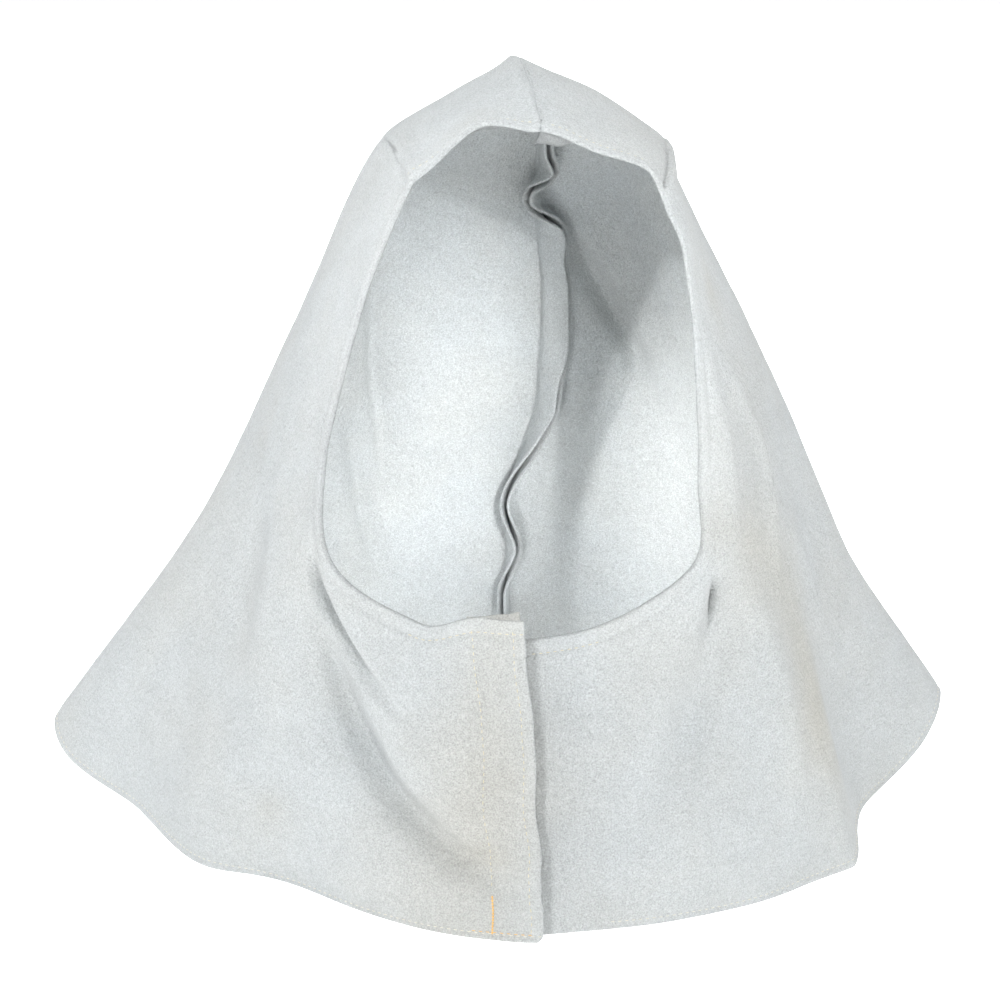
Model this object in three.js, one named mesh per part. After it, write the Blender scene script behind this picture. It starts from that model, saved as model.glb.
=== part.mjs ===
// A welder's hood of split leather: two half panels sewn together along the crown and the back,
// with an open face, a wide shoulder cape and a front edge that laps over a facing strip.
// Millimetres, +Z up. The face opening looks along -Y, the viewer's right is +X, the hem stands on z = 0.

import * as THREE from "three";

// Leather and sewing
const LEATHER = 1.5; // thickness of the split leather
const RIM_HEM = 11; // width of the leather turned in round the face
const RIM_HEM_END = 1.5; // length over which the turned layer thins out
const LEAF_DEPTH = 12; // how far the two seam leaves stand into the hood
const LEAF_DEPTH_AT_RIM = 4;
const LEAF_GAP = 0.8; // air between the two leaves at the seam
const LEAF_GAP_EDGE = 2.4; // and at their free edges
const LEAF_TAPER = 30; // length of seam over which the leaves grow to their full depth

// Front closure
const LAP_GAP = 1.25; // air between neighbouring layers where the front laps
const LAP = LEATHER + LAP_GAP;
const LAP_RISES = { left: [-1.1, -0.66], right: [0.66, 0.18] }; // spokes over which each half leaves the base
const UNDERLAP_EDGE = -34; // x of the right half's hidden edge
const UNDERLAP_DROP = { down: 7, spokes: [0, -0.3], fadesAt: 0.3 }; // which stays below the rim
const PLACKET_RISE = { up: 12, spokes: [-0.95, -0.35], fadesAt: 0.3 }; // the left half's raised corner
const FACING_EDGE = -26; // x of the facing's hidden edge
const FACING_INSET = 1.5; // from the facing's other edge to the front edge of the left half
const FACING_RISES = [8.5, 13.5]; // how far the facing's two top corners stand above the rim
// The x of the left half's front edge at places between rim (0) and hem (1).
const PLACKET_EDGE = [
  { at: 0, x: -0.5 },
  { at: 0.1, x: 0.5 },
  { at: 0.27, x: 4 },
  { at: 0.4, x: 5 },
  { at: 0.53, x: 4.6 },
  { at: 0.7, x: 7.3 },
  { at: 0.9, x: 8 },
  { at: 1, x: 7 },
];

// Fineness of the faceted walls
const SHELL_COLUMNS = 33;
const LEAF_COLUMNS = 3;
const FRONT_CROWDING = 1.2; // above 1 the columns stand closer together near the front edge
const BODY_ROWS = 34;
const FACING_COLUMNS = 5;
const FACING_ROWS = 12;
const LENGTH_SAMPLES = 80;
const PASSES = 4; // rounds of finding the spoke at an x
const LEAST_COSINE = 0.6; // sharpest bend over which a wall keeps its thickness
const NEARLY = 1e-9;
const TENSION = 0.5; // of the smooth lines through the stations and round the spokes

// The base surface of one half: a row for each spoke from the face rim down to the hem, [x, y, z] at
// five even stations. Spokes are numbered from 0 at the front centre to 8 at the crown and back seam.
const SPOKES = [
  { name: "bib_centre", rim: [0, -126, 132], upper: [0, -136, 99],
    middle: [0, -146, 66], lower: [0, -156, 33], hem: [0, -165, 0] },
  { name: "bib_side", rim: [50, -122, 141], upper: [61, -129, 108],
    middle: [73, -135, 72], lower: [87, -136, 36], hem: [103, -126, 0] },
  { name: "jaw", rim: [88, -114, 166], upper: [107, -96, 140],
    middle: [125, -88, 105], lower: [142, -88, 58], hem: [160, -90, 0] },
  { name: "cheek_low", rim: [92, -106, 206], upper: [114, -66, 190],
    middle: [135, -42, 150], lower: [163, -34, 88], hem: [200, -22, 0] },
  { name: "cheek_mid", rim: [83, -101, 250], upper: [105, -45, 243],
    middle: [133, -8, 192], lower: [174, 8, 108], hem: [232, 30, 16] },
  { name: "cheek_high", rim: [70, -96, 298], upper: [86, -25, 300],
    middle: [115, 22, 237], lower: [157, 45, 124], hem: [214, 80, 2] },
  { name: "temple", rim: [57, -88, 334], upper: [66, -12, 340],
    middle: [83, 45, 287], lower: [122, 78, 158], hem: [165, 120, 0] },
  { name: "brow", rim: [29, -88, 356], upper: [35, -8, 360],
    middle: [46, 74, 312], lower: [72, 108, 170], hem: [90, 144, 0] },
  { name: "seam", rim: [0, -88, 361], upper: [0, -8, 378],
    middle: [0, 84, 322], lower: [0, 121, 175], hem: [0, 150, 0] },
];
const SEAM_SPOKE = SPOKES.length - 1;

// Bends laid over the base: the spokes at the rim and at the hem between which each runs (negative on the
// viewer's left), its half width in spokes, the places between rim (0) and hem (1) where it starts and ends,
// whether it is a sharp crease or a soft swell, and how far it pushes the leather in x, y and z.
const SOFT = 0;
const SHARP = 1;
const FOLDS = [
  { name: "left_cape_flare", spokes: [-4, -4], wide: 1.5, places: [0.45, 1], form: SOFT, push: [-13, 6, 4] },
  { name: "left_turn", spokes: [-3.5, -3.5], wide: 0.7, places: [0.6, 1], form: SOFT, push: [-7, 2, -5] },
  { name: "left_bib", spokes: [-1.2, -1.2], wide: 0.85, places: [0.35, 1], form: SOFT, push: [-3, 12, 0] },
  { name: "left_pinch", spokes: [-2.55, 2.65], wide: 0.3, places: [0.02, 0.34], form: SOFT, push: [4, 8, 0] },
  { name: "left_jaw", spokes: [-2.2, 0.3], wide: 0.45, places: [0.05, 0.97], form: SOFT, push: [4, 14, 0] },
  { name: "left_cheek", spokes: [-3.2, -2], wide: 0.6, places: [0.25, 0.8], form: SOFT, push: [5, 4, 0] },
  { name: "left_brow_lift", spokes: [-7.1, -7.1], wide: 0.9, places: [0, 0.2], form: SOFT, push: [-1, 0, 5] },
  { name: "left_dart", spokes: [-6, -6], wide: 0.5, places: [0, 0.25], form: SHARP, push: [0, 0, 3] },
  { name: "right_brow_drop", spokes: [7.1, 7.1], wide: 0.9, places: [0, 0.2], form: SOFT, push: [-2, 0, -6] },
  { name: "right_brow_fill", spokes: [7, 7], wide: 0.8, places: [0.06, 0.5], form: SOFT, push: [1, 0, 2] },
  { name: "right_temple", spokes: [5.8, 5.8], wide: 0.6, places: [0, 0.1], form: SOFT, push: [-3.5, 0, -1] },
  { name: "right_dart", spokes: [6, 6], wide: 0.4, places: [0.01, 0.4], form: SHARP, push: [3, 0, 0] },
  { name: "right_crown", spokes: [5.2, 5.2], wide: 1.1, places: [0.1, 0.6], form: SOFT, push: [-6, 0, 0] },
  { name: "right_rim_lip", spokes: [2.8, 2.8], wide: 2, places: [0, 0.05], form: SOFT, push: [-13, -1, 2] },
  { name: "right_bib_rim", spokes: [1.3, 1.3], wide: 1.4, places: [0, 0.25], form: SOFT, push: [-1, 0, 5] },
  { name: "right_bib", spokes: [1, 1], wide: 0.9, places: [0.4, 1], form: SOFT, push: [0, -9, 0] },
  { name: "right_crease", spokes: [2, 2], wide: 0.55, places: [0.02, 1], form: SHARP, push: [3, -5, 0] },
  { name: "right_jaw", spokes: [1.6, 1.2], wide: 0.5, places: [0.03, 0.75], form: SOFT, push: [-1, 6, 0] },
  { name: "right_ridge", spokes: [5, -2.5], wide: 0.5, places: [0.05, 0.4], form: SHARP, push: [4, -2, 0] },
  { name: "low_ridge", spokes: [2.6, 3.3], wide: 0.5, places: [0.2, 0.95], form: SHARP, push: [4, -2, 0] },
  { name: "right_cape_tuck", spokes: [3, 3], wide: 1.2, places: [0.35, 1], form: SOFT, push: [-24, -8, 3] },
  { name: "right_turn", spokes: [3.5, 3.5], wide: 0.7, places: [0.6, 1], form: SOFT, push: [8, -2, -4] },
  { name: "right_cape_lift", spokes: [4, 4], wide: 1.2, places: [0.6, 1], form: SOFT, push: [-9, 12, 14] },
  { name: "right_back", spokes: [7.3, 7.3], wide: 0.75, places: [0.4, 0.9], form: SOFT, push: [0, 14, 4] },
  { name: "left_back", spokes: [-5, -7.5], wide: 0.35, places: [0.5, 0.94], form: SOFT, push: [-2, 7, 0] },
];
const CREASE_POWER = 1.5;

// The crown's sway to the viewer's right at the forehead, and the back seam's wander in x.
const FOREHEAD_SWAY = { shift: 7, fadesAt: 0.25, fromSpoke: 4, toSpoke: 6 };
const SEAM_REACH = 2; // spokes on each side that follow the seam's wander
const SEAM_PATH = [
  { at: 0, shift: 0 },
  { at: 0.25, shift: -2 },
  { at: 0.45, shift: 10 },
  { at: 0.5, shift: 10 },
  { at: 0.58, shift: 9 },
  { at: 0.66, shift: 13 },
  { at: 0.7, shift: 13 },
  { at: 0.75, shift: 11 },
  { at: 0.86, shift: -7 },
  { at: 1, shift: -6 },
];

// The meander of the two seam leaves: how far their free edge leans in x at places along the seam.
const LEAF_BENDS = [
  { at: 0, lean: 0 },
  { at: 0.38, lean: 0 },
  { at: 0.45, lean: 7 },
  { at: 0.505, lean: 7 },
  { at: 0.555, lean: -5 },
  { at: 0.615, lean: 9 },
  { at: 0.7, lean: 12 },
  { at: 0.76, lean: 8 },
  { at: 0.84, lean: -3 },
  { at: 0.885, lean: 6 },
  { at: 0.93, lean: -4 },
  { at: 1, lean: 0 },
];
const LEAN_POWER = 1.5;

// Finish of the suede
const LEFT_COLOUR = 0xd6dcde;
const RIGHT_COLOUR = 0xd2d8da;
const FACING_COLOUR = 0xcfd1cf;
const SUEDE_ROUGHNESS = 0.95;

const X_AXIS = new THREE.Vector3(1, 0, 0);
const STEP = 1e-3; // step in spokes and stations for slopes of the surface

function smooth(t) {
  return THREE.MathUtils.smoothstep(t, 0, 1);
}

// The value of a column at a place along a table whose rows are sorted by "at".
function lookUp(rows, column, place) {
  const next = Math.max(1, rows.findIndex((row) => row.at >= place));
  const a = rows[next - 1];
  const b = rows[next];
  const share = smooth((place - a.at) / (b.at - a.at));
  return a[column] + (b[column] - a[column]) * share;
}

// One smooth line down each spoke, the left half's mirrored from the right half's.
function spokeCurves(side) {
  return SPOKES.map(({ rim, upper, middle, lower, hem }) => {
    const points = [rim, upper, middle, lower, hem].map(([x, y, z]) => new THREE.Vector3(side * x, y, z));
    return new THREE.CatmullRomCurve3(points, false, "catmullrom", TENSION);
  });
}

const RIGHT_CURVES = spokeCurves(1);
const CURVES = [...spokeCurves(-1).slice(1).reverse(), ...RIGHT_CURVES];

function basePoint(spoke, place) {
  const across = CURVES.map((curve) => curve.getPoint(place));
  const ring = new THREE.CatmullRomCurve3(across, false, "catmullrom", TENSION);
  return ring.getPoint((spoke + SEAM_SPOKE) / (2 * SEAM_SPOKE));
}

function foldShare(fold, spoke, place) {
  const [atRim, atHem] = fold.spokes;
  const [start, end] = fold.places;
  const centre = atRim + (atHem - atRim) * place;
  const side = Math.max(0, 1 - Math.abs(spoke - centre) / fold.wide);
  const across = fold.form === SHARP ? side ** CREASE_POWER : smooth(side);
  const rises = start > 0;
  const falls = end < 1;
  const top = rises && falls ? (start + end) / 2 : rises ? end : start;
  const rise = rises ? smooth((place - start) / (top - start)) : 1;
  const fall = falls ? 1 - smooth((place - top) / (end - top)) : 1;
  return across * rise * fall;
}

function sideShift(spoke, place) {
  const out = Math.abs(spoke);
  const { shift, fadesAt, fromSpoke, toSpoke } = FOREHEAD_SWAY;
  const sway = shift * smooth(1 - place / fadesAt) * smooth((out - fromSpoke) / (toSpoke - fromSpoke));
  const nearSeam = smooth((out - SEAM_SPOKE + SEAM_REACH) / SEAM_REACH);
  return sway + lookUp(SEAM_PATH, "shift", place) * nearSeam;
}

// The middle of the leather at a spoke and a place between rim (0) and hem (1).
function shellPoint(spoke, place) {
  const point = basePoint(spoke, place);
  for (const fold of FOLDS) {
    point.addScaledVector(new THREE.Vector3(...fold.push), foldShare(fold, spoke, place));
  }
  point.x += sideShift(spoke, place);
  point.z = Math.max(point.z, 0);
  return point;
}

function shellNormal(spoke, place) {
  const high = Math.min(place + STEP, 1);
  const low = Math.max(place - STEP, 0);
  const down = shellPoint(spoke, high).sub(shellPoint(spoke, low));
  const round = shellPoint(spoke + STEP, place).sub(shellPoint(spoke - STEP, place));
  return down.cross(round).normalize();
}

// The spoke that passes through x on the front, where spokes run almost evenly in x.
function spokeAtX(x, place) {
  const width = shellPoint(1, place).x - shellPoint(0, place).x;
  let spoke = x / width;
  for (let pass = 0; pass < PASSES; pass++) {
    spoke += (x - shellPoint(spoke, place).x) / width;
  }
  return spoke;
}

function lapEdge(place) {
  return lookUp(PLACKET_EDGE, "x", place);
}

// The places down a line at which given lengths from the rim are reached.
function placesAtLengths(line, lengthsFor) {
  const samples = [{ place: 0, length: 0 }];
  let before = line(0);
  for (let k = 1; k <= LENGTH_SAMPLES; k++) {
    const point = line(k / LENGTH_SAMPLES);
    samples.push({ place: k / LENGTH_SAMPLES, length: samples[k - 1].length + point.distanceTo(before) });
    before = point;
  }
  return lengthsFor(samples[LENGTH_SAMPLES].length).map((length) => {
    const next = Math.max(1, samples.findIndex((sample) => sample.length >= length - NEARLY));
    const a = samples[next - 1];
    const b = samples[next];
    return a.place + ((b.place - a.place) * (length - a.length)) / (b.length - a.length);
  });
}

// Lengths from the rim of the rows of a half: both edges of the turned hem, then even steps to the hem.
function rowLengths(whole) {
  const start = RIM_HEM + RIM_HEM_END;
  const body = Array.from({ length: BODY_ROWS }, (_, k) => start + ((whole - start) * k) / (BODY_ROWS - 1));
  return [0, RIM_HEM, ...body];
}

// A closed thin wall about a grid of middle points: rows run down and columns run round the hood, so that
// the outward side is on the left of the way down. Each point has its reach outwards and inwards.
function wallGeometry(grid) {
  const rows = grid.length;
  const columns = grid[0].length;
  const faceNormal = (i, j) => {
    const down = grid[i + 1][j].point.clone().sub(grid[i][j + 1].point);
    const round = grid[i + 1][j + 1].point.clone().sub(grid[i][j].point);
    return down.cross(round).normalize();
  };
  const positions = [];
  const inside = [];
  for (let i = 0; i < rows; i++) {
    for (let j = 0; j < columns; j++) {
      const around = [];
      for (const a of [i - 1, i]) {
        for (const b of [j - 1, j]) {
          if (a >= 0 && a < rows - 1 && b >= 0 && b < columns - 1) around.push(faceNormal(a, b));
        }
      }
      const normal = around.reduce((sum, n) => sum.add(n), new THREE.Vector3()).normalize();
      const mitre = 1 / Math.max(LEAST_COSINE, Math.min(...around.map((n) => n.dot(normal))));
      const { point, out, back } = grid[i][j];
      if (i === rows - 1) normal.setZ(0).normalize();
      positions.push(...point.clone().addScaledVector(normal, out * mitre).toArray());
      inside.push(...point.clone().addScaledVector(normal, -back * mitre).toArray());
    }
  }
  const count = rows * columns;
  const index = [];
  const quad = (a, b, c, d) => index.push(a, b, c, a, c, d);
  for (let i = 0; i < rows - 1; i++) {
    for (let j = 0; j < columns - 1; j++) {
      const a = i * columns + j;
      quad(a, a + columns, a + columns + 1, a + 1);
      quad(a + count, a + 1 + count, a + columns + 1 + count, a + columns + count);
    }
  }
  const border = (a, b) => quad(b, a, a + count, b + count);
  for (let j = 0; j < columns - 1; j++) {
    border(j + 1, j);
    border((rows - 1) * columns + j, (rows - 1) * columns + j + 1);
  }
  for (let i = 0; i < rows - 1; i++) {
    border(i * columns, (i + 1) * columns);
    border((i + 2) * columns - 1, (i + 1) * columns - 1);
  }
  const geometry = new THREE.BufferGeometry();
  geometry.setAttribute("position", new THREE.Float32BufferAttribute([...positions, ...inside], 3));
  geometry.setIndex(index);
  geometry.computeVertexNormals();
  return geometry;
}

// The middle of the pair of seam leaves: at a place along the seam and a depth into the hood.
function leafMiddle(place, depth) {
  const seam = (at) => shellPoint(SEAM_SPOKE, THREE.MathUtils.clamp(at, 0, 1));
  const along = seam(place + STEP).sub(seam(place - STEP));
  const inward = along.cross(X_AXIS).normalize();
  const lean = lookUp(LEAF_BENDS, "lean", place) * (depth / LEAF_DEPTH) ** LEAN_POWER;
  return seam(place).addScaledVector(inward, depth).addScaledVector(X_AXIS, lean);
}

// A point in the middle of one half's own seam leaf; side is -1 for the left half and 1 for the right.
function leafPoint(side, place, depth) {
  const low = Math.max(place - STEP, 0);
  const high = Math.min(place + STEP, 1);
  const down = leafMiddle(high, depth).sub(leafMiddle(low, depth));
  const inward = leafMiddle(place, depth + STEP).sub(leafMiddle(place, Math.max(depth - STEP, 0)));
  const across = inward.cross(down).normalize();
  const air = LEAF_GAP + ((LEAF_GAP_EDGE - LEAF_GAP) * depth) / LEAF_DEPTH;
  const apart = (LEATHER + air) / 2 / Math.max(across.x, LEAST_COSINE);
  const point = leafMiddle(place, depth).addScaledVector(X_AXIS, side * apart);
  point.z = Math.max(point.z, 0);
  return point;
}

function leafDepth(length) {
  return LEAF_DEPTH_AT_RIM + (LEAF_DEPTH - LEAF_DEPTH_AT_RIM) * smooth(length / LEAF_TAPER);
}

// The share of a front corner's own height at a spoke and a place.
function atFront({ spokes: [from, to], fadesAt }, spoke, place) {
  return smooth((spoke - from) / (to - from)) * smooth(1 - place / fadesAt);
}

// One half panel: its shell from the front edge to the seam and its own seam leaf.
function halfGeometry(side) {
  const frontX = side < 0 ? lapEdge : () => UNDERLAP_EDGE;
  const frontEdge = (place) => spokeAtX(frontX(place), place);
  const [lapFrom, lapTo] = side < 0 ? LAP_RISES.left : LAP_RISES.right;
  const spokeOf = (share, place) => frontEdge(place) + (side * SEAM_SPOKE - frontEdge(place)) * share;
  const half = LEATHER / 2;

  const shellColumns = Array.from({ length: SHELL_COLUMNS - 1 }, (_, k) => {
    const share = (k / (SHELL_COLUMNS - 1)) ** FRONT_CROWDING;
    const line = (place) => shellPoint(spokeOf(share, place), place);
    return placesAtLengths(line, rowLengths).map((place, row) => {
      const spoke = spokeOf(share, place);
      const lap = smooth((spoke - lapFrom) / (lapTo - lapFrom));
      const outward = shellNormal(spoke, place).setZ(0).normalize();
      const point = shellPoint(spoke, place).addScaledVector(outward, -side * LAP * lap);
      point.z += side < 0 ? PLACKET_RISE.up * atFront(PLACKET_RISE, spoke, place) : 0;
      point.z -= side > 0 ? UNDERLAP_DROP.down * atFront(UNDERLAP_DROP, spoke, place) : 0;
      const turnedIn = row < 2 && (side > 0 || lap === 0);
      return { point, out: half, back: turnedIn ? half + LEATHER : half };
    });
  });

  const seamLine = (place) => shellPoint(side * SEAM_SPOKE, place);
  const seamPlaces = placesAtLengths(seamLine, rowLengths);
  const seamLengths = rowLengths(RIGHT_CURVES[SEAM_SPOKE].getLength());
  const leafColumns = Array.from({ length: LEAF_COLUMNS + 1 }, (_, k) =>
    seamPlaces.map((place, row) => {
      const depth = (leafDepth(seamLengths[row]) * k) / LEAF_COLUMNS;
      return { point: leafPoint(side, place, depth), out: half, back: half };
    }),
  );

  const columns = [...shellColumns, ...leafColumns];
  if (side < 0) columns.reverse();
  return wallGeometry(seamPlaces.map((_, row) => columns.map((column) => column[row])));
}

// The strip behind the front edge of the left half, standing above the rim.
function facingGeometry() {
  const half = LEATHER / 2;
  const columns = Array.from({ length: FACING_COLUMNS }, (_, k) => {
    const share = k / (FACING_COLUMNS - 1);
    const xAt = (place) => FACING_EDGE + (lapEdge(place) - FACING_INSET - FACING_EDGE) * share;
    const line = (place) => shellPoint(spokeAtX(xAt(place), place), place);
    const upwards = line(0).sub(line(STEP)).normalize();
    const [low, high] = FACING_RISES;
    const top = line(0).addScaledVector(upwards, low + (high - low) * share);
    const body = Array.from({ length: FACING_ROWS }, (_, row) => line(row / (FACING_ROWS - 1)));
    return [top, ...body].map((point) => ({ point, out: half, back: half }));
  });
  return wallGeometry(columns[0].map((_, row) => columns.map((column) => column[row])));
}

function leatherPiece(name, geometry, colour) {
  const finish = { color: colour, roughness: SUEDE_ROUGHNESS, metalness: 0 };
  const material = new THREE.MeshStandardMaterial(finish);
  const mesh = new THREE.Mesh(geometry, material);
  mesh.name = name;
  return mesh;
}

const hood = new THREE.Group();
hood.name = "leather_welding_hood";
hood.add(leatherPiece("left_half", halfGeometry(-1), LEFT_COLOUR));
hood.add(leatherPiece("right_half", halfGeometry(1), RIGHT_COLOUR));
hood.add(leatherPiece("placket_facing", facingGeometry(), FACING_COLOUR));

// The part's origin is the middle of its box, on the ground.
const box = new THREE.Box3().setFromObject(hood);
const middle = box.getCenter(new THREE.Vector3());
hood.position.set(-middle.x, -middle.y, -box.min.z);

export default hood;
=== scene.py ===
# A welder's hood of pale grey split leather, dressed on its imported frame.
# The hood's tables are in millimetres, as in the part's source: +Z up, the face opening looks along -Y,
# the viewer's right is +X and the hem stands on z = 0. Blender's objects are in metres.
import math

import bpy
import numpy as np
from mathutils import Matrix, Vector


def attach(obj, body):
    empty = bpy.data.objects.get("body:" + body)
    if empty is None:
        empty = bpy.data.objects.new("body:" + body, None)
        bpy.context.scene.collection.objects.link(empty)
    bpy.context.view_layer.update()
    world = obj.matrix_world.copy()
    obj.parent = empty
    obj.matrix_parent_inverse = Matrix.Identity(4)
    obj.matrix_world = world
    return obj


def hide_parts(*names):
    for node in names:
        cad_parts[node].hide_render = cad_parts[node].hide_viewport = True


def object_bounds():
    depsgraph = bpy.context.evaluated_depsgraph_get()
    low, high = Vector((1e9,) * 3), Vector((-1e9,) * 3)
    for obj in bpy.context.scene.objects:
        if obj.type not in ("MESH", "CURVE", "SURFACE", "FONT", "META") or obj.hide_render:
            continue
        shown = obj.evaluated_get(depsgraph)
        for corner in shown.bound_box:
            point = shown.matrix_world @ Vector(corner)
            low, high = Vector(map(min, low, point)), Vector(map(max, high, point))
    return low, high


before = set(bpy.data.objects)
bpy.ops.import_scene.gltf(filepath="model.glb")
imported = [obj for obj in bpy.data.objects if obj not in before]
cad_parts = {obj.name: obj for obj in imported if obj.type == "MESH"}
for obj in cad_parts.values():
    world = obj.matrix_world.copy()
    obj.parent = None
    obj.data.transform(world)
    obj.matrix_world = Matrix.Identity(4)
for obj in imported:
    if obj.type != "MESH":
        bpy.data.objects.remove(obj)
cad_low, cad_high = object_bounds()

MM = 0.001

# Leather and sewing
LEATHER = 1.5
FOLD_SPACING = 1.1          # between the middles of the two layers of a turned hem
FLAT_SPACING = 0.4          # and at the placket, where the top edge is only pressed over
RIM_HEM = 11
BOTTOM_HEM = 6
RIM_STITCH = 7.2            # from the rim to its line of stitches
HEM_STITCH = 4
LEAF_WIDTH = 14
LEAF_WIDTH_AT_RIM = 1.2
LEAF_TAPER = 30
LEAST_LEAF_DEPTH = 0.5      # share of its width that a leaf lying over still stands up
LEAF_GAP = -0.9             # below nothing where the sewing presses the two leaves together
LEAF_GAP_EDGE = 2.6
LEAF_BEND = 0.7             # length of panel and of leaf taken up by the rounded bend between them
BEND_LIFT = 0.5             # share of the step between the halves that this bend takes up
LEAF_RAGGED = (0.8, 14, 33)    # unevenness of the leaf's free edge: height, wavelength and seed
CUT_BULGE = 0.3             # roundness of a cut edge, as a share of the thickness

# Front closure
LAP = 2.75                  # how far each half moves, out or in, where they lap
UNDERLAP_EDGE = -34
FACING_EDGE = -26
FACING_INSET = 1.5
FACING_RISES = (8.5, 13.5)  # how far its two top corners stand above the rim
FACING_RAGGED = (0.7, 6, 41)   # unevenness of its top edge: height, wavelength and seed
LAP_RISES = {-1: (-1.1, -0.66), 1: (0.66, 0.18)}   # spokes over which it does so, for left and right
PLACKET_RISE = 12           # how far the left half's front corner stands above the rim
PLACKET_SPOKES = (-0.95, -0.35)
PLACKET_FADES_AT = 0.3
UNDERLAP_DROP = 7           # how far the hidden edge of the right half stays below the rim
UNDERLAP_SPOKES = (0, -0.3)
# Place down the front and x of the left half's front edge, then how far that edge curls out.
PLACKET_EDGE = [(0, -0.5), (0.1, 0.5), (0.27, 4), (0.4, 5), (0.53, 4.6), (0.7, 7.3), (0.9, 8),
                (0.98, 7.9), (1, 5.8)]
PLACKET_CURL = [(0, 0.5), (0.12, 3.5), (0.35, 5), (0.6, 4), (0.85, 4.5), (1, 1.5)]
CURL_REACH = 22

# Fineness of the meshes
SHELL_COLUMNS = 228
FRONT_CROWDING = 1.12       # above 1 the columns stand closer together near the front edge
LEAF_COLUMNS = 8
BEND_COLUMNS = 5
FOLD_ROWS = 7
RIM_ROWS = 15               # rows over the stitched band under the rim
RIM_BAND = 14
BODY_ROWS = 116
HEM_ROWS = 6
FACING_COLUMNS = 26
FACING_ROWS = 90
FACING_RISE_ROWS = 10
LENGTH_SAMPLES = 241
BOX_SAMPLES = (641, 161)    # round the hood and down it, to find the box of the tables
EDGE_SEARCHES = 4
STEP = 2e-3                 # of spoke, place or width, for slopes
TINY = 1e-12

# One row for each spoke: [x, y, z] at the rim, upper, middle, lower and hem stations of one half.
SPOKES = {
    "bib_centre": [(0, -126, 132), (0, -136, 99), (0, -146, 66), (0, -156, 33), (0, -165, 0)],
    "bib_side": [(50, -122, 141), (61, -129, 108), (73, -135, 72), (87, -136, 36), (103, -126, 0)],
    "jaw": [(88, -114, 166), (107, -96, 140), (125, -88, 105), (142, -88, 58), (160, -90, 0)],
    "cheek_low": [(92, -106, 206), (114, -66, 190), (135, -42, 150), (163, -34, 88), (200, -22, 0)],
    "cheek_mid": [(83, -101, 250), (105, -45, 243), (133, -8, 192), (174, 8, 108), (232, 30, 16)],
    "cheek_high": [(70, -96, 298), (86, -25, 300), (115, 22, 237), (157, 45, 124), (214, 80, 2)],
    "temple": [(57, -88, 334), (66, -12, 340), (83, 45, 287), (122, 78, 158), (165, 120, 0)],
    "brow": [(29, -88, 356), (35, -8, 360), (46, 74, 312), (72, 108, 170), (90, 144, 0)],
    "seam": [(0, -88, 361), (0, -8, 378), (0, 84, 322), (0, 121, 175), (0, 150, 0)],
}
SEAM_SPOKE = len(SPOKES) - 1
STATIONS = 5

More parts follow.
